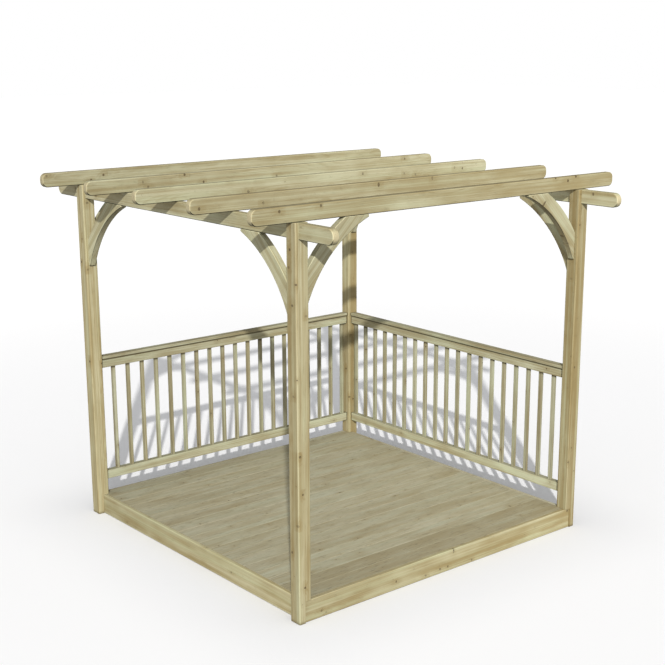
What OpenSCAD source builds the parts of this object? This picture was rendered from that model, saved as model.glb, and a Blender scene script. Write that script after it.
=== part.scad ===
// Open timber pergola standing round a low deck, with slatted balustrades on two sides.
// X runs along the rafters, Y along the beams and Z up. The origin is on the ground at the middle of the plan.
// Four square posts carry a beam on each side in a slot cut through their heads, and five rafters lie
// across the beams. The deck frame corners run in under the inner half of each post.

/* [Posts] */
// Distance over the outer faces of two neighbouring posts
post_span = 2490; // [2100:10:3000]
// Side of the square posts
post_w = 90; // [80:5:110]
// Height of the posts, level with the top of the beams
post_h = 2415; // [2200:5:2600]
// Radius that softens the long edges of the posts
post_ease = 6; // [2:1:10]

/* [Beams and rafters] */
// Thickness of the beams
beam_t = 45; // [35:1:50]
// Height of the beams
beam_h = 95; // [94:1:120]
// Thickness of the rafters
rafter_t = 45; // [35:1:50]
// Height of the rafters
rafter_h = 95; // [80:5:120]
// How far the beams run past the posts
beam_overhang = 300; // [150:10:450]
// How far the rafters run past the posts
rafter_overhang = 280; // [150:10:450]
// Corner radius of the beam ends, which are nearly half round
beam_end_r = 45; // [25:1:46]
// Corner radius of the rafter ends
rafter_end_r = 38; // [20:1:40]
// Radius that softens the long edges of beams and rafters
frame_ease = 3; // [1:0.5:6]

/* [Braces] */
// Thickness of the curved braces
brace_t = 45; // [35:1:50]
// Reach of a brace from the corner, along the post and along the timber above
brace_leg = 470; // [380:10:560]
// Width of the braces, the same all along their curve
brace_w = 95; // [70:5:120]
// Width of the blunt tip that ends the hollow edge
brace_tip = 15; // [8:1:25]
// Radius of the hollow lower edge
brace_r = 820; // [700:10:1000]

/* [Deck] */
// Height of the joists, which lie on the ground
joist_h = 112; // [80:1:140]
// Thickness of the joists
joist_t = 45; // [35:1:50]
// Number of joists
joist_count = 8; // [6:1:10]
// Thickness of the deck boards
board_t = 28; // [20:1:35]
// Width of a deck board
board_w = 125; // [90:1:150]
// Smallest gap between two deck boards
board_gap = 1.5; // [1:0.5:8]
// Gap between the board ends and the side fascias
board_end_gap = 2; // [1:0.5:5]
// Thickness of the fascia boards round the deck
fascia_t = 28; // [20:1:35]
// How far the deck corner runs in under the inner part of a post
lap = 45; // [30:1:60]
// How far the front and back fascias stand behind the post faces
deck_setback = 8; // [0:1:15]
// Radius that softens the edges of the deck boards
board_ease = 1; // [0.5:0.5:4]
// Radius that softens the edges of fascias and rails
rail_ease = 2.5; // [1:0.5:4]

/* [Balustrades] */
// Thickness of the top and bottom rails
rail_t = 45; // [35:1:60]
// Height of the top and bottom rails
rail_h = 65; // [50:1:80]
// Clear height below the bottom rail
rail_clear = 108; // [60:1:150]
// Height of the handrail's top above the deck
handrail_top = 1038; // [900:1:1150]
// Width of the handrail
handrail_w = 60; // [50:1:80]
// Thickness of the handrail
handrail_t = 22; // [18:1:40]
// Radius that rounds the edges of the handrail
handrail_ease = 5; // [2:1:8]
// Side of the square balusters
baluster_w = 25; // [20:1:40]
// Gap between two balusters
baluster_gap = 95; // [70:1:98]
// Radius that softens the edges of the balusters
baluster_ease = 2; // [1:0.5:4]

/* [Hidden] */
$fn = 48;
CORNERS = ["front_left", "front_right", "back_left", "back_right"];

rafter_count = 5;
post_c = (post_span - post_w) / 2;
post_inner = post_span / 2 - post_w;
beam_l = post_span + 2 * beam_overhang;
rafter_l = post_span + 2 * rafter_overhang;
rafter_pitch = 2 * post_c / (rafter_count - 1);
brace_arc_c = (brace_leg + brace_tip + sqrt(2 * pow(brace_r, 2) - pow(brace_leg - brace_tip, 2))) / 2;
deck_h = joist_h + board_t;
deck_w = post_span - 2 * (post_w - lap);
deck_d = post_span - 2 * deck_setback;
frame_w = deck_w - 2 * fascia_t;
frame_d = deck_d - 2 * fascia_t;
board_count = floor((frame_d - board_gap) / (board_w + board_gap));
board_pitch = (frame_d + board_w) / (board_count + 1);
rail_l = 2 * post_inner;
bottom_rail_z = deck_h + rail_clear;
handrail_z = deck_h + handrail_top - handrail_t;
top_rail_z = handrail_z - rail_h;
baluster_z = bottom_rail_z + rail_h;
baluster_pitch = baluster_w + baluster_gap;
baluster_count = floor(rail_l / baluster_pitch);
cut = 1;

POST_COLOR = [0.74, 0.68, 0.50];
FRAME_COLOR = [0.75, 0.71, 0.54];
FASCIA_COLOR = [0.73, 0.67, 0.47];
DECK_COLOR = [0.66, 0.63, 0.52];
RAIL_COLOR = [0.72, 0.71, 0.54];

// Side of the plan that a corner is on: -1 is left or front, 1 is right or back
function side_x(corner) = (corner == "front_left" || corner == "back_left") ? -1 : 1;
function side_y(corner) = (corner == "front_left" || corner == "front_right") ? -1 : 1;

// Rectangle with round corners, centred
module soft_rect(w, h, r) {
    square([w - 2 * r, h], center = true);
    square([w, h - 2 * r], center = true);
    for (x = [-1, 1], y = [-1, 1])
        translate([x * (w / 2 - r), y * (h / 2 - r)]) circle(r = r);
}

// Straight timber along X, centred on its length and section
module timber(l, t, h, r) {
    rotate([90, 0, 90]) linear_extrude(height = l, center = true) soft_rect(t, h, r);
}

// Beam or rafter along X with round end corners and soft long edges, standing on z = 0
module round_ended(l, t, h, r) {
    translate([0, 0, h / 2])
        intersection() {
            rotate([90, 0, 0]) linear_extrude(height = t, center = true) soft_rect(l, h, r);
            timber(l, t, h, frame_ease);
        }
}

// Post with the slot for the beam through its head and the half lap over the deck at its foot
module post(corner) {
    inward = -side_x(corner);
    color(POST_COLOR)
    translate([side_x(corner) * post_c, side_y(corner) * post_c, 0])
        difference() {
            linear_extrude(height = post_h) soft_rect(post_w, post_w, post_ease);
            translate([-beam_t / 2, -post_w / 2 - cut, post_h - beam_h])
                cube([beam_t, post_w + 2 * cut, beam_h + cut]);
            translate([inward * (post_w - lap + cut) / 2, 0, (deck_h - cut) / 2])
                cube([lap + cut, post_w + 2 * cut, deck_h + cut], center = true);
        }
}

// Beam along Y, lying in the slots of the two posts on its side
module beam(side) {
    color(FRAME_COLOR)
    translate([side * post_c, 0, post_h - beam_h])
        rotate([0, 0, 90]) round_ended(beam_l, beam_t, beam_h, beam_end_r);
}

// Rafter along X, lying across both beams; the first is over the front posts
module rafter(number) {
    color(FRAME_COLOR)
    translate([0, -post_c + (number - 1) * rafter_pitch, post_h])
        round_ended(rafter_l, rafter_t, rafter_h, rafter_end_r);
}

// Outline of a brace, a band bent about one centre: x runs away from the post and y down from the timber above
module brace_outline() {
    intersection() {
        square(brace_leg);
        translate([brace_arc_c, brace_arc_c])
            difference() {
                circle(r = brace_r + brace_w, $fn = 180);
                circle(r = brace_r, $fn = 180);
            }
    }
}

// Brace standing in the XZ plane, its corner at the origin, reaching towards +X and -Z
module brace() {
    rotate([-90, 0, 0]) linear_extrude(height = brace_t, center = true) brace_outline();
}

// Brace between a post and the beam above it
module beam_brace(corner) {
    color(FRAME_COLOR)
    translate([side_x(corner) * post_c, side_y(corner) * post_inner, post_h - beam_h])
        rotate([0, 0, -side_y(corner) * 90]) brace();
}

// Brace between a post and the rafter above it
module rafter_brace(corner) {
    color(FRAME_COLOR)
    translate([side_x(corner) * post_inner, side_y(corner) * post_c, post_h])
        rotate([0, 0, side_x(corner) < 0 ? 0 : 180]) brace();
}

// Fascia along the front or back of the deck, over the ends of the side fascias
module long_fascia(side) {
    color(FASCIA_COLOR)
    translate([0, side * (deck_d - fascia_t) / 2, deck_h / 2]) timber(deck_w, fascia_t, deck_h, rail_ease);
}

// Fascia along one side of the deck, between the front and back ones
module side_fascia(side) {
    color(FASCIA_COLOR)
    translate([side * (deck_w - fascia_t) / 2, 0, deck_h / 2])
        rotate([0, 0, 90]) timber(frame_d, fascia_t, deck_h, rail_ease);
}

module deck_joists() {
    joist_pitch = (frame_w - joist_t) / (joist_count - 1);
    color(DECK_COLOR)
    for (i = [0 : joist_count - 1])
        translate([-(frame_w - joist_t) / 2 + i * joist_pitch, 0, joist_h / 2])
            cube([joist_t, frame_d, joist_h], center = true);
}

// Boards along X, which run in under the feet of the posts at the corners
module deck_boards() {
    color(DECK_COLOR)
    for (i = [1 : board_count])
        translate([0, -(frame_d + board_w) / 2 + i * board_pitch, joist_h + board_t / 2])
            timber(frame_w - 2 * board_end_gap, board_w, board_t, board_ease);
}

// Places what runs along X in the plane of the back balustrade
module on_back() {
    translate([0, post_c, 0]) children();
}

// Places what runs along X in the plane of the right balustrade, its left end to the front
module on_right() {
    translate([post_c, 0, 0]) rotate([0, 0, 90]) children();
}

module rail(z) {
    color(RAIL_COLOR)
    translate([0, 0, z + rail_h / 2]) timber(rail_l, rail_t, rail_h, rail_ease);
}

module handrail() {
    color(RAIL_COLOR)
    translate([0, 0, handrail_z + handrail_t / 2]) timber(rail_l, handrail_w, handrail_t, handrail_ease);
}

// Balusters set out from the outer post, so the odd gap is left at the back right post
module balusters() {
    color(RAIL_COLOR)
    for (i = [0 : baluster_count - 1])
        translate([-post_inner + baluster_gap + baluster_w / 2 + i * baluster_pitch, 0, baluster_z])
            linear_extrude(height = top_rail_z - baluster_z) soft_rect(baluster_w, baluster_w, baluster_ease);
}

for (corner = CORNERS) {
    post(corner);
    beam_brace(corner);
    rafter_brace(corner);
}
beam(-1);  // beam_left
beam(1);  // beam_right
for (number = [1 : rafter_count])
    rafter(number);
long_fascia(-1);  // fascia_front
long_fascia(1);  // fascia_back
side_fascia(-1);  // fascia_left
side_fascia(1);  // fascia_right
deck_joists();
deck_boards();
on_back() rail(bottom_rail_z);  // bottom_rail_back
on_right() rail(bottom_rail_z);  // bottom_rail_right
on_back() rail(top_rail_z);  // top_rail_back
on_right() rail(top_rail_z);  // top_rail_right
on_back() handrail();  // handrail_back
on_right() handrail();  // handrail_right
on_back() balusters();  // balusters_back
on_right() balusters();  // balusters_right
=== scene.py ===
import math
import random

import bmesh
import bpy
from mathutils import Matrix, Vector


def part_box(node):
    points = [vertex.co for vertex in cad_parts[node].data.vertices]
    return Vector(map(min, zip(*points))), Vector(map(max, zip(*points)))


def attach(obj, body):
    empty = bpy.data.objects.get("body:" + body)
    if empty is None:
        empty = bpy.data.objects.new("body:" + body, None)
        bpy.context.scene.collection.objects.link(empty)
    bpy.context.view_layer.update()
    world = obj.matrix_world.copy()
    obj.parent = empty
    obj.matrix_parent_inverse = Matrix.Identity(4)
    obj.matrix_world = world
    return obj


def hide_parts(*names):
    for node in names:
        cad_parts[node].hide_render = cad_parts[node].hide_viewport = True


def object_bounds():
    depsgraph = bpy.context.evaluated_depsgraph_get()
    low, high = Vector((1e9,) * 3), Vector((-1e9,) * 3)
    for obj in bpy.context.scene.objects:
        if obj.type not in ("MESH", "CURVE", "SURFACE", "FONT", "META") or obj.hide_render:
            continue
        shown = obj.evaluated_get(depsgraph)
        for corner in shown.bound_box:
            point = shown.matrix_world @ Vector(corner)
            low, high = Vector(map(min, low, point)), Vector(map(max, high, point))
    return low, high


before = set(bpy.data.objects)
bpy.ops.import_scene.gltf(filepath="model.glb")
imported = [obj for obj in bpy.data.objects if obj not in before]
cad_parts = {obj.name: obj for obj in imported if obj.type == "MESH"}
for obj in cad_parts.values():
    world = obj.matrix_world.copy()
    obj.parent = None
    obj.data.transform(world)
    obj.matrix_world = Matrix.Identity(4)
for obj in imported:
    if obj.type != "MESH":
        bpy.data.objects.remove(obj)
cad_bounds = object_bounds()
# Every timber's grain is drawn in turn from this one seed, so each run gives the same wood
chance = random.Random(11)

# --------------------------------------------------------------------------------------------------
# Posts. Four square lengths of pressure-treated pine, planed all round with soft arrises. The head
# of each is slotted for the beam, and the inner half of its foot is cut away to stand over the
# corner of the deck.
# --------------------------------------------------------------------------------------------------
CORNERS = ("front_left", "front_right", "back_left", "back_right")
POST_EASE = 0.008
CUT_EASE = 0.0015
# Painted shade at the foot of each post, beside the fascia, and how far up it reaches
FOOT_SHADE_REACH = 0.022
FOOT_PAINTED_SHADE = -0.6


def add_node(tree, kind, *values, **settings):
    """Adds a shader node. Sockets and plain values go to its inputs in order, and None skips one."""
    node = tree.nodes.new("ShaderNode" + kind)
    for setting, value in settings.items():
        setattr(node, setting, value)
    for socket, value in zip(node.inputs, values):
        if isinstance(value, bpy.types.NodeSocket):
            tree.links.new(value, socket)
        elif value is not None:
            socket.default_value = value
    return node


def maths(tree, operation, *values):
    return add_node(tree, "Math", *values, operation=operation).outputs[0]


def vector_maths(tree, operation, *values):
    """Gives the vector that comes out, or the number where the operation makes one."""
    outputs = add_node(tree, "VectorMath", *values, operation=operation).outputs
    return outputs["Value" if operation in ("DOT_PRODUCT", "LENGTH", "DISTANCE") else "Vector"]


def diagonal(tree, one_way, other_way):
    """Straight distance between points that lie so far apart one way and the other."""
    squared = maths(tree, "MULTIPLY", other_way, other_way)
    return maths(tree, "SQRT", maths(tree, "MULTIPLY_ADD", one_way, one_way, squared))


def soft_step(tree, value, low, high, to_low=0.0, to_high=1.0):
    return add_node(tree, "MapRange", value, low, high, to_low, to_high,
                    interpolation_type="SMOOTHSTEP").outputs[0]


def swayed(tree, value, pattern, share):
    """The value moved by a share of how far the pattern lies above or below its middle."""
    return maths(tree, "MULTIPLY_ADD", maths(tree, "SUBTRACT", pattern, 0.5), share, value)


def tint(tree, factor, below, above):
    """Colour that turns from one to the other as the factor rises from 0 to 1."""
    return add_node(tree, "Mix", factor, *[None] * 5, below, above, data_type="RGBA").outputs[2]


BLOTCH_ROUGHNESS = 0.55


def blotches(tree, place, stretch, detail=2.0):
    """Noise drawn out along the grain. stretch is its number of blotches a metre along and across."""
    stretched = vector_maths(tree, "MULTIPLY", place, (stretch[0], stretch[1], stretch[1]))
    return add_node(tree, "TexNoise", stretched, None, 1.0, detail, BLOTCH_ROUGHNESS).outputs[0]


def new_group(name, inputs, outputs):
    tree = bpy.data.node_groups.new(name, "ShaderNodeTree")
    for side, sockets in (("INPUT", inputs), ("OUTPUT", outputs)):
        for socket, kind in sockets:
            tree.interface.new_socket(socket, in_out=side, socket_type="NodeSocket" + kind)
    return tree, tree.nodes.new("NodeGroupInput").outputs, tree.nodes.new("NodeGroupOutput").inputs


# A branch stays clear of both ends of its cell by this share of it, and is left out or thin where the
# cell's draw lies low in the range. The knot fades in from just outside its radius to just inside.
BRANCH_MARGIN = 0.15
BRANCH_DRAWS = (0.20, 0.60)
DEADNESS_DRAWS = (0.0, 0.7)
SOUND_TO_DEAD = (0.45, 1.0)
KNOT_EDGE = (0.001, -0.002)

# The grain swirls round a knot out to this many times its radius, and further along than across.
# A millimetre is added to the radius, which is nil where a branch is left out.
SWIRL_REACH = (3.6, 0.6)
SWIRL_SQUEEZE = 0.45
ADDED_RADIUS = 0.001


def knot_group():
    """Branches that run out from the heart of the tree, one to each cell along the grain. Some cells
    are left clear, and some branches are sound and tan, others dead and dark."""
    tree, given, wanted = new_group(
        "knots",
        (("Grain", "Vector"), ("Spacing", "Float"), ("Radius", "Float"), ("Seed", "Float")),
        (("Knot", "Float"), ("Swirl", "Float")))
    along, across, deep = add_node(tree, "SeparateXYZ", given["Grain"]).outputs
    cell = maths(tree, "FLOOR", maths(tree, "DIVIDE", along, given["Spacing"]))
    draw_at = add_node(tree, "CombineXYZ", cell, given["Seed"]).outputs[0]
    draw = add_node(tree, "TexWhiteNoise", draw_at, noise_dimensions="3D").outputs["Color"]
    shift, turn, strength = add_node(tree, "SeparateXYZ", draw).outputs

    # How far a point lies from the branch, along the timber and beside it
    middle = maths(tree, "MULTIPLY_ADD", shift, 1 - 2 * BRANCH_MARGIN, BRANCH_MARGIN)
    centre = maths(tree, "MULTIPLY", maths(tree, "ADD", cell, middle), given["Spacing"])
    off_centre = maths(tree, "SUBTRACT", along, centre)
    angle = maths(tree, "MULTIPLY", turn, math.tau)
    branch = add_node(tree, "CombineXYZ", maths(tree, "COSINE", angle),
                      maths(tree, "SINE", angle)).outputs[0]
    section = add_node(tree, "CombineXYZ", across, deep).outputs[0]
    out = maths(tree, "MAXIMUM", vector_maths(tree, "DOT_PRODUCT", section, branch), 0.0)
    nearest = vector_maths(tree, "SCALE", branch, None, None, out)
    beside = vector_maths(tree, "DISTANCE", section, nearest)

    present = soft_step(tree, strength, *BRANCH_DRAWS)
    radius = maths(tree, "MULTIPLY", given["Radius"], present)
    away = diagonal(tree, off_centre, beside)
    knot = soft_step(tree, maths(tree, "SUBTRACT", away, radius), *KNOT_EDGE)
    darkness = soft_step(tree, shift, *DEADNESS_DRAWS, *SOUND_TO_DEAD)
    tree.links.new(maths(tree, "MULTIPLY", knot, darkness), wanted["Knot"])

    near = diagonal(tree, maths(tree, "MULTIPLY", off_centre, SWIRL_SQUEEZE), beside)
    in_radii = maths(tree, "DIVIDE", near, maths(tree, "ADD", radius, ADDED_RADIUS))
    swirl = soft_step(tree, in_radii, *SWIRL_REACH)
    tree.links.new(maths(tree, "MULTIPLY", swirl, present), wanted["Swirl"])
    return tree


# Two sets of branches, each with its own share of the knot spacing and its own draws
BRANCH_SETS = ((1.0, 1.7), (1.37, 9.1))
SEED_SPREAD = 97.0
HEART_TURNS = 0.9
HEART_WANDER = 0.05

# Rings are a year's growth apart. They wobble, and bulge where a branch passes through them.
RING_WIDTH = 0.0052
RING_WOBBLE = 0.012
RING_BULGE = 0.009
LATEWOOD_RISE = (0.35, 0.85)
LATEWOOD_FALL = (1.0, 0.92)
FAINTEST_YEAR = 0.5
YEAR_RANGE = 0.7

# Number of blotches a metre, along the grain and across it. Some are read elsewhere in the wood, so
# that they don't lie over the others.
WOBBLES = (1.3, 14.0)
BROAD_BANDS = (0.5, 34.0)
STREAKS = (1.2, 140.0)
PATCHES = (2.6, 9.0)
FIBRES = (9.0, 480.0)
FLECKS = (16.0, 130.0)
GREEN_BANDS = (0.7, 17.0)
ELSEWHERE = (3.1, 1.7, 0.4)

# How far each of these turns the wood from pale to tan
MEAN_TAN = 0.44
LOG_TAN = 0.7
RING_TAN = 0.16
HEARTWOOD_RADII = (0.055, 0.020)
HEARTWOOD_TAN = 0.30
SWIRL_TAN = 0.30
TAN_RANGE = (-0.20, 1.10)
GREEN_RANGE = (0.40, 0.66)
GREEN_SHARE = 0.7

# How much each of these lightens or darkens it
LOG_SHADE = 0.22
FIBRE_SHADE = 0.22
END_RING_SHADE = -0.30
FLECK_RANGE = (0.57, 0.74)
# Painted shade: faces that point down are made this much darker
UNDERSIDE_PAINTED_SHADE = 0.72
# Painted highlight on arrises that face up, and painted shade on those that face down
ARRIS_PAINTED_HIGHLIGHT = 0.22
ARRIS_PAINTED_SHADE = -0.75
KNOT_COVER = 0.9
# Most that the painted darkening can cover; it is mostly painted shade at joints and under overhangs
DARK_PAINT_COVER = 0.9

# How far a face points along the timber where its end grain shows, and how far up it points where
# the painted shade on undersides ends and where the painted highlight on arrises begins
END_FACING = (0.55, 0.95)
UNDERSIDE_SHADE_FACING = (-0.80, -0.10)
ARRIS_LIGHT_FACING = (-0.35, -0.10)

ROUGHNESS = 0.74
RING_ROUGHNESS = -0.10
FIBRE_ROUGHNESS = 0.12
KNOT_ROUGHNESS = -0.16
RING_HEIGHT = 0.5
FIBRE_HEIGHT = 0.6
KNOT_HEIGHT = 0.5


def softwood_group(knots):
    """Planed pine: rings round a wandering heart, long colour bands, fibres, knots and end grain."""
    tree, given, wanted = new_group(
        "softwood",
        (("Grain", "Vector"), ("Along", "Vector"), ("Tree", "Vector"), ("Arris", "Float"),
         ("Pale", "Color"), ("Brown", "Color"), ("Green", "Color"), ("Knot", "Color"),
         ("End", "Color"), ("Dark paint", "Color"), ("Bands", "Float"), ("Patches", "Float"),
         ("Streaks", "Float"), ("Flecks", "Float"), ("Knot spacing", "Float"),
         ("Knot radius", "Float")),
        (("Colour", "Color"), ("Roughness", "Float"), ("Height", "Float")))
    grain = given["Grain"]
    seed, lightness, brownness = add_node(tree, "SeparateXYZ", given["Tree"]).outputs
    along = add_node(tree, "SeparateXYZ", grain).outputs["X"]

    # The heart of the tree wanders a few centimetres, and the branches run out from it
    wander = add_node(tree, "TexNoise", None, along, HEART_TURNS, 1.0,
                      noise_dimensions="1D").outputs["Color"]
    drift = vector_maths(tree, "MULTIPLY", vector_maths(tree, "SUBTRACT", wander, (0.5, 0.5, 0.5)),
                         (0.0, HEART_WANDER, HEART_WANDER))
    wandered = vector_maths(tree, "ADD", grain, drift)
    branches = []
    for spread, salt in BRANCH_SETS:
        spacing = maths(tree, "MULTIPLY", given["Knot spacing"], spread)
        draws = maths(tree, "MULTIPLY_ADD", seed, SEED_SPREAD, salt)
        branches.append(add_node(tree, "Group", node_tree=knots))
        for socket, value in zip(branches[-1].inputs,
                                 (wandered, spacing, given["Knot radius"], draws)):
            tree.links.new(value, socket)
    knot, swirl = (maths(tree, "MAXIMUM", *(group.outputs[mask] for group in branches))
                   for mask in ("Knot", "Swirl"))

    # Each ring darkens slowly into its latewood and ends sharply, and some years are darker
    _, from_heart_y, from_heart_z = add_node(tree, "SeparateXYZ", wandered).outputs
    section = add_node(tree, "CombineXYZ", from_heart_y, from_heart_z).outputs[0]
    radius = vector_maths(tree, "LENGTH", section)
    radius = maths(tree, "MULTIPLY_ADD", blotches(tree, grain, WOBBLES), RING_WOBBLE, radius)
    radius = maths(tree, "MULTIPLY_ADD", swirl, RING_BULGE, radius)
    ring = maths(tree, "DIVIDE", radius, RING_WIDTH)
    through = maths(tree, "FRACT", ring)
    late = maths(tree, "MULTIPLY", soft_step(tree, through, *LATEWOOD_RISE),
                 soft_step(tree, through, *LATEWOOD_FALL))
    year = add_node(tree, "TexWhiteNoise", None, maths(tree, "FLOOR", ring),
                    noise_dimensions="1D").outputs[0]
    year = maths(tree, "MULTIPLY_ADD", year, YEAR_RANGE, FAINTEST_YEAR)
    late = maths(tree, "MULTIPLY", late, year)

    # Bands, streaks, patches, rings and branches turn it from pale sapwood to tan, each by its share
    elsewhere = vector_maths(tree, "ADD", grain, ELSEWHERE)
    tan = swayed(tree, MEAN_TAN, brownness, LOG_TAN)
    tan = swayed(tree, tan, blotches(tree, grain, BROAD_BANDS, detail=1.5), given["Bands"])
    tan = swayed(tree, tan, blotches(tree, elsewhere, STREAKS), given["Streaks"])
    tan = swayed(tree, tan, blotches(tree, elsewhere, PATCHES), given["Patches"])
    tan = maths(tree, "MULTIPLY_ADD", late, RING_TAN, tan)
    tan = maths(tree, "ADD", soft_step(tree, radius, *HEARTWOOD_RADII, 0.0, HEARTWOOD_TAN), tan)
    tan = soft_step(tree, maths(tree, "MULTIPLY_ADD", swirl, SWIRL_TAN, tan), *TAN_RANGE)
    green = soft_step(tree, blotches(tree, elsewhere, GREEN_BANDS), *GREEN_RANGE)
    colour = tint(tree, maths(tree, "MULTIPLY", green, GREEN_SHARE), given["Pale"], given["Green"])
    colour = tint(tree, tan, colour, given["Brown"])
    normal = add_node(tree, "TexCoord").outputs["Normal"]
    facing = vector_maths(tree, "DOT_PRODUCT", normal, given["Along"])
    end = soft_step(tree, maths(tree, "ABSOLUTE", facing), *END_FACING)
    colour = tint(tree, end, colour, given["End"])

    # Logs differ, fibres and flecks run through them, and the rings show dark on the ends
    fibre = blotches(tree, grain, FIBRES)
    shade = swayed(tree, 1.0, lightness, LOG_SHADE)
    shade = swayed(tree, shade, fibre, FIBRE_SHADE)
    shade = maths(tree, "MULTIPLY_ADD", maths(tree, "MULTIPLY", late, end), END_RING_SHADE, shade)
    fleck = soft_step(tree, blotches(tree, elsewhere, FLECKS, detail=1.5), *FLECK_RANGE)
    shade = maths(tree, "SUBTRACT", shade, maths(tree, "MULTIPLY", fleck, given["Flecks"]))

    # Painted shade darkens undersides, arrises get a painted highlight where they face up and painted
    # shade where they face down, and marked parts are painted darker, mostly painted shade at joints
    upward = add_node(tree, "SeparateXYZ", normal).outputs["Z"]
    # Painted shade on every face that points down
    underside_painted_shade = soft_step(tree, upward, *UNDERSIDE_SHADE_FACING, UNDERSIDE_PAINTED_SHADE, 1.0)
    shade = maths(tree, "MULTIPLY", shade, underside_painted_shade)
    # Painted highlight on upward arrises and painted shade on downward ones, where the arris layer is
    # above zero
    painted_arris_light = soft_step(tree, upward, *ARRIS_LIGHT_FACING, ARRIS_PAINTED_SHADE, ARRIS_PAINTED_HIGHLIGHT)
    shade = maths(tree, "MULTIPLY_ADD", maths(tree, "MAXIMUM", given["Arris"], 0.0), painted_arris_light, shade)
    colour = vector_maths(tree, "SCALE", colour, None, None, shade)
    colour = tint(tree, maths(tree, "MULTIPLY", knot, KNOT_COVER), colour, given["Knot"])
    # Parts marked below zero are turned towards the dark colour: mostly painted shade at joints, feet
    # and tops
    dark_paint = maths(tree, "MINIMUM", maths(tree, "MULTIPLY", given["Arris"], -1.0), DARK_PAINT_COVER)
    tree.links.new(tint(tree, dark_paint, colour, given["Dark paint"]), wanted["Colour"])

    rough = maths(tree, "MULTIPLY_ADD", late, RING_ROUGHNESS, ROUGHNESS)
    rough = swayed(tree, rough, fibre, FIBRE_ROUGHNESS)
    rough = maths(tree, "MULTIPLY_ADD", knot, KNOT_ROUGHNESS, rough)
    tree.links.new(rough, wanted["Roughness"])
    height = maths(tree, "MULTIPLY", fibre, FIBRE_HEIGHT)
    height = maths(tree, "MULTIPLY_ADD", late, RING_HEIGHT, height)
    height = maths(tree, "MULTIPLY_ADD", knot, KNOT_HEIGHT, height)
    tree.links.new(height, wanted["Height"])
    return tree


softwood = softwood_group(knot_group())


def softwood_material(name, gloss, bump, relief, colours, figure):
    """Material with the softwood's colour and relief. bump is how strongly the relief shows, relief
    is its depth in metres, and figure holds the rest of what the softwood is told."""
    material = bpy.data.materials.new(name)
    material.use_nodes = True
    tree = material.node_tree
    shader = tree.nodes["Principled BSDF"]
    shader.inputs["Specular IOR Level"].default_value = gloss
    wood = add_node(tree, "Group", node_tree=softwood)
    for socket, colour in colours.items():
        wood.inputs[socket].default_value = (*colour, 1.0)
    for socket, value in figure.items():
        wood.inputs[socket].default_value = value
    tree.links.new(wood.outputs["Colour"], shader.inputs["Base Color"])
    raised = add_node(tree, "Bump")
    raised.inputs["Strength"].default_value = bump
    raised.inputs["Distance"].default_value = relief
    tree.links.new(wood.outputs["Height"], raised.inputs["Height"])
    tree.links.new(raised.outputs["Normal"], shader.inputs["Normal"])
    return material, wood, shader


KNOT = (0.085, 0.058, 0.026)
# Colour of the painted darkening, which is mostly painted shade where parts meet or overhang
DARK_PAINT = (0.070, 0.053, 0.022)
PLANED_GLOSS = 0.28
PLANED_BUMP = 0.6


def treated_pine(name, pale, brown, green, end, bands, patches, streaks, flecks, spacing, radius,
                 relief):
    """Finish of one kind of planed timber. bands, patches and streaks are how far they turn it tan,
    flecks is how dark its short dashes are, spacing and radius are those of its knots, and relief
    is the depth of the grain in metres."""
    material, wood, shader = softwood_material(
        name, PLANED_GLOSS, PLANED_BUMP, relief,
        {"Pale": pale, "Brown": brown, "Green": green, "Knot": KNOT, "End": end, "Dark paint": DARK_PAINT},
        {"Bands": bands, "Patches": patches, "Streaks": streaks, "Flecks": flecks,
         "Knot spacing": spacing, "Knot radius": radius})
    tree = material.node_tree
    for layer, output in (("Grain", "Vector"), ("Along", "Vector"), ("Tree", "Vector"),
                          ("Arris", "Fac")):
        layer_node = add_node(tree, "Attribute", attribute_name=layer.lower())
        tree.links.new(layer_node.outputs[output], wood.inputs[layer])
    tree.links.new(wood.outputs["Roughness"], shader.inputs["Roughness"])
    return material


def new_timber():
    """Empty mesh for one timber, with a layer that says where painted highlight and painted shade go.
    """
    timber = bmesh.new()
    timber.verts.layers.float.new("arris")
    return timber


def thicken(timber, outline, thickness):
    """Gives a flat outline its thickness along Z."""
    grown = bmesh.ops.extrude_face_region(timber, geom=[outline])
    lifted = [item for item in grown["geom"] if isinstance(item, bmesh.types.BMVert)]
    bmesh.ops.translate(timber, vec=(0.0, 0.0, thickness), verts=lifted)


def soften(timber, edges, radius, segments, painted_arris_light=1.0):
    """Rounds edges of a timber, shades the new faces smooth and marks the middle of each arris: 1 is
    a painted highlight where it faces up and painted shade where it faces down, and -1 is painted
    darker."""
    rounded = bmesh.ops.bevel(timber, geom=edges, offset=radius, offset_type="OFFSET",
                              segments=segments, profile=0.5, affect="EDGES", material=-1,
                              clamp_overlap=False)
    arris = timber.verts.layers.float["arris"]
    new_faces = set(rounded["faces"])
    for face in new_faces:
        face.smooth = True
    for vert in rounded["verts"]:
        if new_faces.issuperset(vert.link_faces):
            vert[arris] = painted_arris_light


SNAP = 1e-6


def paint_darker_faces(timber, directions, reach, darkening):
    """Marks the outermost parts of a timber in each direction to be painted darker, fading out over
    the reach. Where parts meet or overhang this is painted shade.
    """
    arris = timber.verts.layers.float["arris"]
    for direction in directions:
        direction = Vector(direction)
        end = max(vert.co.dot(direction) for vert in timber.verts)
        whole = timber.verts[:] + timber.edges[:] + timber.faces[:]
        bmesh.ops.bisect_plane(timber, geom=whole, dist=SNAP, plane_co=direction * (end - reach),
                               plane_no=direction)
        for vert in timber.verts:
            if vert.co.dot(direction) > end - reach / 2:
                vert[arris] = darkening


NEARLY_ALL = 0.999


def runs_along(edge, axis):
    step = edge.verts[1].co - edge.verts[0].co
    return abs(step[axis]) > NEARLY_ALL * step.length


def sharp_edges(timber, degrees=60):
    """Edges between two faces that meet at more than so many degrees."""
    return [edge for edge in timber.edges if edge.calc_face_angle(0.0) > math.radians(degrees)]


LOG_STARTS = (2.0, 60.0)


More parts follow.
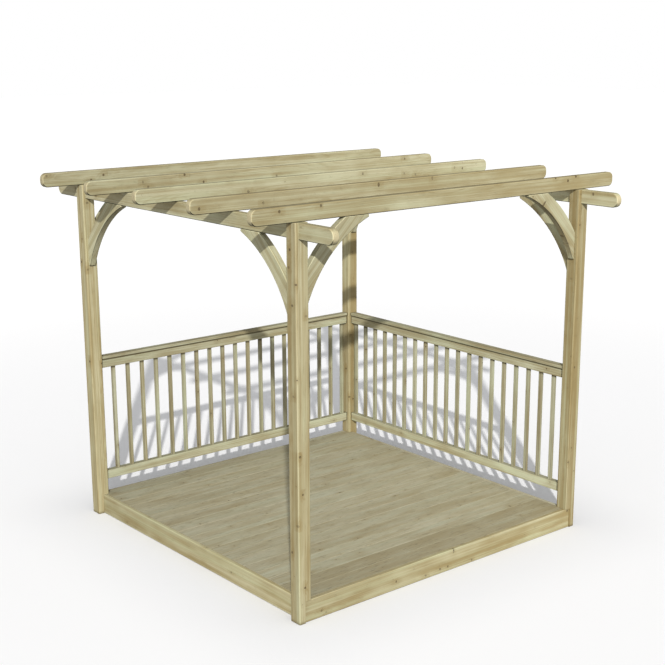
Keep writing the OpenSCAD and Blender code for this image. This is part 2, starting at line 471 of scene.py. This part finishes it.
def lay(piece, timber, place, heart, tone, painted_light_gradient=0.0):
    """Gives a timber its own grain, then turns it to its place and adds it to the piece's mesh. The
    timber's length is along its own X. heart is where the middle of the tree lies in its section.
    tone is how light and how brown it is, mostly from 0 to 1, and the last argument is how much
    lighter it is painted a metre towards the front right: a painted light gradient."""
    grain = timber.verts.layers.float_vector.new("grain")
    along = timber.verts.layers.float_vector.new("along")
    tree = timber.verts.layers.float_vector.new("tree")
    log_start = Vector((chance.uniform(*LOG_STARTS), -heart[0], -heart[1]))
    seed = chance.random()
    direction = place.to_3x3() @ Vector((1.0, 0.0, 0.0))
    for vert in timber.verts:
        vert[grain] = vert.co + log_start
        vert[along] = direction
        there = place @ vert.co
        # Painted light: the lightness rises towards the front right
        vert[tree] = (seed, tone[0] + painted_light_gradient * (there.x - there.y), tone[1])
    timber.normal_update()
    bmesh.ops.recalc_face_normals(timber, faces=timber.faces)
    timber.transform(place)
    laid = bpy.data.meshes.new("laid")
    timber.to_mesh(laid)
    timber.free()
    piece.from_mesh(laid)
    bpy.data.meshes.remove(laid)


def into_scene(name, data):
    made = bpy.data.objects.new(name, data)
    bpy.context.scene.collection.objects.link(made)
    return made


def hand_over(node, piece, material):
    """Makes the finished piece an object that stands for the node."""
    name = f"dressed_{node}"
    mesh = bpy.data.meshes.new(name)
    piece.to_mesh(mesh)
    piece.free()
    mesh.materials.append(material)
    made = into_scene(name, mesh)
    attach(made, "root")
    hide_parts(node)


def turned(origin, along, across):
    """Place of a timber whose length runs along one direction and whose width runs across another."""
    along, across = Vector(along), Vector(across)
    deep = along.cross(across)
    return Matrix.Translation(origin) @ Matrix((along, across, deep)).transposed().to_4x4()


post_finish = treated_pine(
    "post_pine", pale=(0.440, 0.405, 0.255), brown=(0.255, 0.194, 0.084),
    green=(0.418, 0.418, 0.262), end=(0.45, 0.39, 0.23), bands=1.6, patches=0.8, streaks=1.6,
    flecks=0.12, spacing=0.115, radius=0.0085, relief=0.0006)
POST_HEARTS = {"front_left": (-0.024, 0.014), "front_right": (-0.018, -0.016),
               "back_left": (0.022, 0.018), "back_right": (0.012, -0.030)}
POST_TONES = {"front_left": (0.55, 0.42), "front_right": (0.70, 0.60),
              "back_left": (0.75, 0.45), "back_right": (0.85, 0.45)}
TOUCHING = 1e-5
deck_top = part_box("deck_boards")[1].z
for corner in CORNERS:
    side = "left" if "left" in corner else "right"
    low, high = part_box(f"post_{corner}")
    beam_low, beam_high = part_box(f"beam_{side}")
    deck_low, deck_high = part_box(f"fascia_{side}")
    outer, inner, deck_edge = low.x, high.x, deck_low.x
    slot_outer, slot_inner = beam_low.x, beam_high.x
    if side == "right":
        outer, inner, deck_edge = high.x, low.x, deck_high.x
        slot_outer, slot_inner = beam_high.x, beam_low.x
    centre, half = (low + high) / 2, (high.x - low.x) / 2
    outline = [
        (outer, low.z), (deck_edge, low.z), (deck_edge, deck_top), (inner, deck_top),
        (inner, high.z), (slot_inner, high.z), (slot_inner, beam_low.z), (slot_outer, beam_low.z),
        (slot_outer, high.z), (outer, high.z)]
    post = new_timber()
    side_face = post.faces.new([post.verts.new((z, x - centre.x, low.y - centre.y))
                                for x, z in outline])
    thicken(post, side_face, high.y - low.y)
    arrises = [edge for edge in post.edges if runs_along(edge, 0)
               and all(abs(abs(vert.co.y) - half) < TOUCHING for vert in edge.verts)]
    # The post's arrises get a painted highlight
    soften(post, arrises, POST_EASE, segments=4)
    soften(post, sharp_edges(post), CUT_EASE, segments=2)
    # Painted shade darkens the foot of the post
    paint_darker_faces(post, ((-1, 0, 0),), FOOT_SHADE_REACH, FOOT_PAINTED_SHADE)
    piece = bmesh.new()
    lay(piece, post, turned((centre.x, centre.y, 0.0), (0, 0, 1), (1, 0, 0)), POST_HEARTS[corner],
        POST_TONES[corner])
    hand_over(f"post_{corner}", piece, post_finish)

# --------------------------------------------------------------------------------------------------
# Beams and rafters. Planed boards on edge with nearly half-round ends and soft arrises. The two
# beams lie in the slots of the posts, and the five rafters lie across them, screwed down from above.
# --------------------------------------------------------------------------------------------------
FRAME_EASE = 0.006
BEAM_END_RADIUS = 0.045
RAFTER_END_RADIUS = 0.038
# Painted shade along the top faces of beams and rafters
FRAME_TOP_PAINTED_SHADE = -0.28


def board(length, width, depth):
    """Square-edged timber, its length along X, its width along Y and its depth along Z."""
    timber = new_timber()
    bmesh.ops.create_cube(timber, size=1.0)
    bmesh.ops.scale(timber, vec=(length, width, depth), verts=timber.verts)
    return timber


def round_ended(length, thickness, height, end_radius):
    timber = board(length, thickness, height)
    ends = [edge for edge in timber.edges if runs_along(edge, 1)]
    soften(timber, ends, end_radius, segments=12, painted_arris_light=0.0)
    # The arrises get a painted highlight above and painted shade below
    soften(timber, sharp_edges(timber), FRAME_EASE, segments=4)
    # Painted shade on the top face
    paint_darker_faces(timber, ((0, 0, 1),), FRAME_EASE, FRAME_TOP_PAINTED_SHADE)
    return timber


frame_finish = treated_pine(
    "frame_pine", pale=(0.440, 0.420, 0.280), brown=(0.262, 0.213, 0.106),
    green=(0.415, 0.425, 0.272), end=(0.47, 0.41, 0.25), bands=1.4, patches=1.3, streaks=1.1,
    flecks=0.14, spacing=0.10, radius=0.0090, relief=0.0006)
FRAME_HEARTS = ((0.04, 0.08), (-0.06, 0.06))
FRAME_TONES = {"beam_left": (0.90, 0.38), "beam_right": (1.40, 0.00), "rafter_1": (0.49, 0.78),
               "rafter_2": (0.68, 0.80), "rafter_3": (0.78, 0.22), "rafter_4": (0.81, 0.46),
               "rafter_5": (0.82, 0.50)}
# Painted light gradient of the rafters, lighter towards the front right
RAFTER_PAINTED_LIGHT_GRADIENT = 0.32
for node, tone in FRAME_TONES.items():
    low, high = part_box(node)
    size, centre = high - low, (low + high) / 2
    if node.startswith("beam"):
        timber = round_ended(size.y, size.x, size.z, BEAM_END_RADIUS)
        place = turned(centre, (0, 1, 0), (-1, 0, 0))
        painted_light_gradient = 0.0
    else:
        timber = round_ended(size.x, size.y, size.z, RAFTER_END_RADIUS)
        place = turned(centre, (1, 0, 0), (0, 1, 0))
        painted_light_gradient = RAFTER_PAINTED_LIGHT_GRADIENT
    heart = [chance.uniform(*reach) for reach in FRAME_HEARTS]
    piece = bmesh.new()
    lay(piece, timber, place, heart, tone, painted_light_gradient)
    hand_over(node, piece, frame_finish)

# --------------------------------------------------------------------------------------------------
# Knee braces. Sawn from wide board to an even curve, hollow below and bulging above, and screwed
# into the angle between a post and the timber above it. The tips are blunt, and the back stands
# clear of the corner.
# --------------------------------------------------------------------------------------------------
BRACE_WIDTH = 0.095
BRACE_TIP = 0.015
BRACE_RADIUS = 0.820
BRACE_EASE = 0.0045
BRACE_ARC_STEPS = 28


def curved_edge(brace, start, centre, radius):
    """Line of vertices bent about the centre, from start to its mirror image in the diagonal."""
    first = brace.verts.new((*start, 0.0))
    others = set(brace.verts)
    sweep = 2 * math.asin((start[0] - start[1]) / math.sqrt(2) / radius)
    bmesh.ops.spin(brace, geom=[first], cent=(centre, centre, 0.0), axis=(0, 0, -1), angle=sweep,
                   steps=BRACE_ARC_STEPS, use_merge=False, use_duplicate=False)
    bent = [first] + [vert for vert in brace.verts if vert not in others]
    return sorted(bent, key=lambda vert: vert.co.y - vert.co.x)


def knee_brace(leg, thickness):
    """Brace in its own XY plane: X runs along the timber above, Y down the post, with the corner at
    the origin."""
    brace = new_timber()
    half_chord = (leg - BRACE_TIP) / math.sqrt(2)
    to_centre = (leg + BRACE_TIP) / math.sqrt(2) + math.sqrt(BRACE_RADIUS ** 2 - half_chord ** 2)
    centre = to_centre / math.sqrt(2)
    back_radius = BRACE_RADIUS + BRACE_WIDTH
    back_end = centre - math.sqrt(back_radius ** 2 - centre ** 2)
    hollow = curved_edge(brace, (leg, BRACE_TIP), centre, BRACE_RADIUS)
    back = curved_edge(brace, (back_end, 0.0), centre, back_radius)
    foot, head = brace.verts.new((0.0, leg, 0.0)), brace.verts.new((leg, 0.0, 0.0))
    outline = brace.faces.new(hollow + [foot] + back[::-1] + [head])
    thicken(brace, outline, thickness)
    bmesh.ops.translate(brace, vec=(0.0, 0.0, -thickness / 2), verts=brace.verts)
    bmesh.ops.recalc_face_normals(brace, faces=brace.faces)
    # The brace's arrises get a painted highlight above and painted shade below
    soften(brace, sharp_edges(brace, degrees=30), BRACE_EASE, segments=3)
    return brace


brace_finish = treated_pine(
    "brace_pine", pale=(0.450, 0.434, 0.290), brown=(0.285, 0.238, 0.125),
    green=(0.420, 0.440, 0.285), end=(0.36, 0.33, 0.20), bands=1.5, patches=1.3, streaks=1.5,
    flecks=0.14, spacing=0.16, radius=0.008, relief=0.0006)
BRACE_HEARTS = (0.25, 0.40)
BRACE_HEART_DEPTH = 0.03
BRACE_TONES = {"beam_brace": (0.80, 0.38), "rafter_brace": (0.75, 0.30),
               "rafter_brace_front_left": (0.10, 0.40)}
for corner in CORNERS:
    to_left, to_front = "left" in corner, "front" in corner
    for kind in ("beam_brace", "rafter_brace"):
        node = f"{kind}_{corner}"
        low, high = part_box(node)
        size, centre = high - low, (low + high) / 2
        if kind == "beam_brace":
            timber = knee_brace(size.z, size.x)
            inward = Vector((0, 1, 0)) if to_front else Vector((0, -1, 0))
            angle_at = Vector((centre.x, low.y if to_front else high.y, high.z))
        else:
            timber = knee_brace(size.z, size.y)
            inward = Vector((1, 0, 0)) if to_left else Vector((-1, 0, 0))
            angle_at = Vector((low.x if to_left else high.x, centre.y, high.z))
        # The grain runs from tip to tip, so the brace is first turned until that line is along its X
        bmesh.ops.rotate(timber, cent=(0, 0, 0), verts=timber.verts,
                         matrix=Matrix.Rotation(math.radians(45), 3, "Z"))
        slope = Vector((inward.x, inward.y, 1.0)).normalized()
        outward = Vector((inward.x, inward.y, -1.0)).normalized()
        piece = bmesh.new()
        lay(piece, timber, turned(angle_at, slope, outward),
            (chance.uniform(*BRACE_HEARTS), BRACE_HEART_DEPTH),
            BRACE_TONES.get(node, BRACE_TONES[kind]))
        hand_over(node, piece, brace_finish)

# --------------------------------------------------------------------------------------------------
# Deck frame. Rough-sawn joists lie on the ground, and planed fascia boards are screwed round them,
# the front and back ones over the ends of the side ones. Those under the balustrades take the deck's
# finish and are painted a little darker along their arrises; the others get a painted highlight
# along their upper arrises and painted shade along their lower ones.
# --------------------------------------------------------------------------------------------------
FASCIA_EASE = 0.004
# Painted highlight on the upper and painted shade on the lower arrises of the front and left fascias;
# the back and right ones are only painted a little darker along theirs
FASCIA_PAINTED_ARRIS_LIGHT = 0.5
FASCIA_DARKER_ARRIS = -0.2

fascia_finish = treated_pine(
    "fascia_pine", pale=(0.430, 0.395, 0.245), brown=(0.272, 0.212, 0.096),
    green=(0.400, 0.398, 0.236), end=(0.42, 0.36, 0.21), bands=1.7, patches=1.6, streaks=1.2,
    flecks=0.12, spacing=0.12, radius=0.008, relief=0.0006)
deck_finish = treated_pine(
    "deck_pine", pale=(0.418, 0.396, 0.285), brown=(0.300, 0.255, 0.148),
    green=(0.380, 0.386, 0.276), end=(0.38, 0.34, 0.22), bands=0.7, patches=1.4, streaks=0.8,
    flecks=0.32, spacing=0.19, radius=0.0062, relief=0.0007)
FASCIA_HEARTS = (-0.04, 0.04)
FASCIA_HEART_DEPTH = 0.07
FASCIA_TONES = {"front": (0.20, 0.48), "back": (0.5, 0.45), "left": (1.20, 0.44),
                "right": (0.5, 0.45)}
# Painted light gradient of the fascias, lighter towards the front right
FASCIA_PAINTED_LIGHT_GRADIENT = 0.42
for side, tone in FASCIA_TONES.items():
    low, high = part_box(f"fascia_{side}")
    size, centre = high - low, (low + high) / 2
    if side in ("front", "back"):
        timber = board(size.x, size.z, size.y)
        place = turned(centre, (1, 0, 0), (0, 0, 1))
    else:
        timber = board(size.y, size.z, size.x)
        place = turned(centre, (0, 1, 0), (0, 0, 1))
    # Back and right: arrises painted a little darker. Front and left: painted highlight and painted
    # shade.
    finish, painted_arris_light = deck_finish, FASCIA_DARKER_ARRIS
    if side in ("front", "left"):
        finish, painted_arris_light = fascia_finish, FASCIA_PAINTED_ARRIS_LIGHT
    soften(timber, list(timber.edges), FASCIA_EASE, segments=3, painted_arris_light=painted_arris_light)
    piece = bmesh.new()
    lay(piece, timber, place, (chance.uniform(*FASCIA_HEARTS), FASCIA_HEART_DEPTH), tone,
        FASCIA_PAINTED_LIGHT_GRADIENT)
    hand_over(f"fascia_{side}", piece, finish)

JOIST_ROUGHNESS = 0.85

# The joists keep the frame's own shape, so their grain is read from where they lie along Y
joist_finish, joist_wood, joist_shader = softwood_material(
    "joist_pine", gloss=0.2, bump=0.8, relief=0.0015,
    colours={"Pale": (0.30, 0.26, 0.15), "Brown": (0.25, 0.19, 0.10), "Green": (0.26, 0.26, 0.15),
             "Knot": KNOT, "End": (0.36, 0.31, 0.19)},
    figure={"Along": (0.0, 1.0, 0.0), "Tree": (0.4, 0.4, 0.5), "Bands": 1.4, "Patches": 0.7,
            "Streaks": 1.4, "Knot spacing": 0.3, "Knot radius": 0.009})
joist_shader.inputs["Roughness"].default_value = JOIST_ROUGHNESS
joist_tree = joist_finish.node_tree
joist_place = add_node(joist_tree, "TexCoord").outputs["Object"]
joist_grain = add_node(joist_tree, "VectorRotate", joist_place, rotation_type="Z_AXIS", invert=True)
joist_grain.inputs["Angle"].default_value = math.radians(90)
joist_tree.links.new(joist_grain.outputs[0], joist_wood.inputs["Grain"])
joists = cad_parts["deck_joists"]
joists.data.materials.clear()
joists.data.materials.append(joist_finish)

# --------------------------------------------------------------------------------------------------
# Deck boards. Smooth boards laid from side to side over the joists with narrow gaps. They are cut
# from different logs, so each has its own tone, and the two at the front are the brownest.
# --------------------------------------------------------------------------------------------------
BOARD_COUNT = 19
BOARD_GAP = 0.00215
BOARD_EASE = 0.0012
BOARD_HEARTS = (-0.05, 0.05)
BOARD_HEART_DEPTH = -0.045
BOARD_TONES = ((0.40, 0.70), (0.3, 0.6))
BROWN_BOARDS = 2
BROWN_TONE = (0.10, 0.8)
# Painted light gradient of the deck, lighter towards the front right
DECK_PAINTED_LIGHT_GRADIENT = 0.25

low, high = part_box("deck_boards")
centre = (low + high) / 2
board_pitch = (high.y - low.y + BOARD_GAP) / BOARD_COUNT
piece = bmesh.new()
for number in range(BOARD_COUNT):
    timber = board(high.x - low.x, board_pitch - BOARD_GAP, high.z - low.z)
    soften(timber, list(timber.edges), BOARD_EASE, segments=3, painted_arris_light=0.0)
    middle_y = low.y + number * board_pitch + (board_pitch - BOARD_GAP) / 2
    place = turned((centre.x, middle_y, centre.z), (1, 0, 0), (0, 1, 0))
    tone = BROWN_TONE
    if number >= BROWN_BOARDS:
        tone = [chance.uniform(*reach) for reach in BOARD_TONES]
    lay(piece, timber, place, (chance.uniform(*BOARD_HEARTS), BOARD_HEART_DEPTH), tone, DECK_PAINTED_LIGHT_GRADIENT)
hand_over("deck_boards", piece, deck_finish)

# --------------------------------------------------------------------------------------------------
# Balustrades. On the back and right sides a bottom and a top rail run between the posts, with a
# wider capping handrail on top and square balusters skew-nailed between the rails.
# --------------------------------------------------------------------------------------------------
RAIL_EASE = 0.004
HANDRAIL_EASE = 0.005
BALUSTER_EASE = 0.002
BALUSTER_WIDTH = 0.025
BALUSTER_PITCH = 0.120
# Painted shade where rails meet the handrail and posts and where balusters meet the rails
JOINT_PAINTED_SHADE = -1.4
RAIL_END_SHADE_REACH = 0.012
BALUSTER_END_SHADE_REACH = 0.020

rail_finish = treated_pine(
    "rail_pine", pale=(0.437, 0.436, 0.308), brown=(0.260, 0.218, 0.120),
    green=(0.408, 0.438, 0.293), end=(0.42, 0.38, 0.24), bands=1.3, patches=1.5, streaks=1.7,
    flecks=0.14, spacing=0.14, radius=0.006, relief=0.0005)
# Radius of the arrises, the painted light on the upper and on the lower ones, and the reach and
# strength of the darkening painted on top. Above zero an arris gets a painted highlight where it
# faces up and painted shade where it faces down. Below zero it is painted darker: painted shade,
# most of all where the top rail meets the handrail, and where balusters stand on the bottom rail.
# The handrail's top is only painted a little darker.
RAILS = {"bottom_rail": (RAIL_EASE, -1.3, 0.0, RAIL_EASE, -0.40),
         "top_rail": (RAIL_EASE, -1.3, 0.8, 0.013, JOINT_PAINTED_SHADE),
         "handrail": (HANDRAIL_EASE, -0.35, 1.0, HANDRAIL_EASE, -0.22)}
RAIL_HEARTS = ((0.04, 0.07), (-0.04, 0.04))
RAIL_TONES = {"bottom_rail_back": (0.85, 0.30), "top_rail_back": (0.68, 0.45),
              "handrail_back": (0.40, 0.50), "bottom_rail_right": (1.20, 0.20),
              "top_rail_right": (0.85, 0.35), "handrail_right": (0.50, 0.50)}
# Painted light gradient of the rails, lighter towards the front right
RAIL_PAINTED_LIGHT_GRADIENT = 0.22
BALUSTER_HEARTS = (0.02, 0.05)
BALUSTER_HEART_DEPTH = 0.02
BALUSTER_TONES = ((-0.15, 0.45), (0.25, 0.75))
for side in ("back", "right"):
    for kind, (ease, arris_paint_above, arris_paint_below, top_darkening_reach, top_darkening) in RAILS.items():
        node = f"{kind}_{side}"
        low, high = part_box(node)
        size, centre = high - low, (low + high) / 2
        if side == "back":
            timber = board(size.x, size.y, size.z)
            place = turned(centre, (1, 0, 0), (0, 1, 0))
        else:
            timber = board(size.y, size.x, size.z)
            place = turned(centre, (0, 1, 0), (-1, 0, 0))
        arrises = [edge for edge in timber.edges if runs_along(edge, 0)]
        upper = [edge for edge in arrises if edge.verts[0].co.z > 0.0]
        lower = [edge for edge in arrises if edge.verts[0].co.z < 0.0]
        # Painted light on the rail's arrises: highlight where they face up, shade where they face
        # down, darker below zero
        soften(timber, upper, ease, segments=4, painted_arris_light=arris_paint_above)
        soften(timber, lower, ease, segments=4, painted_arris_light=arris_paint_below)
        # Painted darker along the top: painted shade under the handrail and where the balusters stand
        paint_darker_faces(timber, ((0, 0, 1),), top_darkening_reach, top_darkening)
        # Painted shade at the ends, where the rail meets the posts
        paint_darker_faces(timber, ((1, 0, 0), (-1, 0, 0)), RAIL_END_SHADE_REACH, JOINT_PAINTED_SHADE)
        heart = [chance.uniform(*reach) for reach in RAIL_HEARTS]
        piece = bmesh.new()
        lay(piece, timber, place, heart, RAIL_TONES[node], RAIL_PAINTED_LIGHT_GRADIENT)
        hand_over(node, piece, rail_finish)

    low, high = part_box(f"balusters_{side}")
    size, centre = high - low, (low + high) / 2
    span = size.x if side == "back" else size.y
    piece = bmesh.new()
    for number in range(round((span - BALUSTER_WIDTH) / BALUSTER_PITCH) + 1):
        along = BALUSTER_WIDTH / 2 + number * BALUSTER_PITCH
        middle = (low.x + along, centre.y, centre.z)
        if side == "right":
            middle = (centre.x, low.y + along, centre.z)
        timber = board(size.z, BALUSTER_WIDTH, BALUSTER_WIDTH)
        arrises = [edge for edge in timber.edges if runs_along(edge, 0)]
        soften(timber, arrises, BALUSTER_EASE, segments=2)
        # Painted shade at both ends of the baluster, where the rails shade it
        paint_darker_faces(timber, ((1, 0, 0),), BALUSTER_END_SHADE_REACH, JOINT_PAINTED_SHADE)
        heart = (chance.uniform(*BALUSTER_HEARTS), BALUSTER_HEART_DEPTH)
        tone = [chance.uniform(*reach) for reach in BALUSTER_TONES]
        lay(piece, timber, turned(middle, (0, 0, 1), (1, 0, 0)), heart, tone)
    hand_over(f"balusters_{side}", piece, rail_finish)

# --------------------------------------------------------------------------------------------------
# Studio. A wide pale floor, a hard lamp from the front left, and a soft fill that is brightest from
# that side. The floor is painted a little darker close to the deck, a painted shade, and white far
# away so that no horizon shows.
# --------------------------------------------------------------------------------------------------
FLOOR_SIZE = 120.0
FLOOR_ROUGHNESS = 0.9
# Painted shade: the floor's colour beside the deck, and the distances over which it fades out
FLOOR_PAINTED_SHADE_NEAR_DECK = (0.760, 0.766, 0.780, 1.0)
FLOOR_IN_THE_OPEN = (0.878, 0.880, 0.888, 1.0)
FLOOR_FAR_AWAY = (0.97, 0.97, 0.97, 1.0)
FLOOR_BOUNCE = (0.39, 0.39, 0.39, 1.0)
PAINTED_SHADE_FADE = (-0.25, 0.90)
FAR_FADE = (3.0, 10.0)

floor_mesh = bpy.data.meshes.new("floor")
floor_shape = bmesh.new()
bmesh.ops.create_grid(floor_shape, x_segments=1, y_segments=1, size=FLOOR_SIZE / 2)
bmesh.ops.translate(floor_shape, vec=(0.0, 0.0, cad_bounds[0][2]), verts=floor_shape.verts)
floor_shape.to_mesh(floor_mesh)
floor_shape.free()
floor = into_scene("floor", floor_mesh)
floor_finish = bpy.data.materials.new("floor_white")
floor_finish.use_nodes = True
floor_tree = floor_finish.node_tree
floor_shader = floor_tree.nodes["Principled BSDF"]
floor_shader.inputs["Roughness"].default_value = FLOOR_ROUGHNESS
floor_shader.inputs["Specular IOR Level"].default_value = 0.0
deck_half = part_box("fascia_front")[1].x
spot = vector_maths(floor_tree, "ABSOLUTE", add_node(floor_tree, "TexCoord").outputs["Object"])
outside = vector_maths(floor_tree, "SUBTRACT", spot, (deck_half, deck_half, 0.0))
outside = vector_maths(floor_tree, "MAXIMUM", outside, (0.0, 0.0, 0.0))
distance = vector_maths(floor_tree, "LENGTH", outside)
# Painted shade close to the deck, fading to the open floor
white = tint(floor_tree, soft_step(floor_tree, distance, *PAINTED_SHADE_FADE), FLOOR_PAINTED_SHADE_NEAR_DECK,
             FLOOR_IN_THE_OPEN)
white = tint(floor_tree, soft_step(floor_tree, distance, *FAR_FADE), white, FLOOR_FAR_AWAY)
looked_at = add_node(floor_tree, "LightPath").outputs["Is Camera Ray"]
floor_tree.links.new(tint(floor_tree, looked_at, FLOOR_BOUNCE, white),
                     floor_shader.inputs["Base Color"])
floor_mesh.materials.append(floor_finish)

SUN_TRAVEL = Vector((1.160, 1.567, -1.0))
SUN_STRENGTH = 3.6
SUN_WIDTH = math.radians(1.0)
SUN_COLOUR = (1.0, 0.985, 0.96)

lamp = bpy.data.lights.new("studio_sun", "SUN")
lamp.energy = SUN_STRENGTH
lamp.angle = SUN_WIDTH
lamp.color = SUN_COLOUR
sun = into_scene("studio_sun", lamp)
sun.rotation_euler = SUN_TRAVEL.to_track_quat("-Z", "Y").to_euler()

FILL_FROM = (-0.50, -0.77, 0.4)
FILL_BRIGHTEST = (0.83, 0.83, 0.83, 1.0)
FILL_DARKEST = (0.08, 0.09, 0.11, 1.0)
BACKDROP = (1.0, 1.0, 1.0, 1.0)

world = bpy.data.worlds.new("studio")
world.use_nodes = True
bpy.context.scene.world = world
fill = world.node_tree
sky_place = add_node(fill, "TexCoord").outputs["Generated"]
towards_lamp = vector_maths(fill, "DOT_PRODUCT", sky_place, FILL_FROM)
sky = tint(fill, soft_step(fill, towards_lamp, -1.0, 1.0), FILL_DARKEST, FILL_BRIGHTEST)
looked_at = add_node(fill, "LightPath").outputs["Is Camera Ray"]
fill.links.new(tint(fill, looked_at, sky, BACKDROP), fill.nodes["Background"].inputs["Color"])

# --------------------------------------------------------------------------------------------------
# Camera. It stands in front and to the left, a little higher than the roof, and looks across the
# near post.
# --------------------------------------------------------------------------------------------------
CAMERA_AT = (-5.53705, -6.81188, 3.42965)
CAMERA_TILT = math.radians(75.580)
CAMERA_TURN = math.radians(-40.283)
LENS = 69.344
SENSOR_WIDTH = 36.0
SHIFT = (-0.03287, 0.04513)
SEES_TO = 400.0

camera_data = bpy.data.cameras.new("camera")
camera_data.lens = LENS
camera_data.sensor_width = SENSOR_WIDTH
camera_data.shift_x, camera_data.shift_y = SHIFT
camera_data.clip_end = SEES_TO
camera = into_scene("camera", camera_data)
camera.location = CAMERA_AT
camera.rotation_euler = (CAMERA_TILT, 0.0, CAMERA_TURN)
bpy.context.scene.camera = camera
bpy.context.scene.view_settings.view_transform = "Standard"
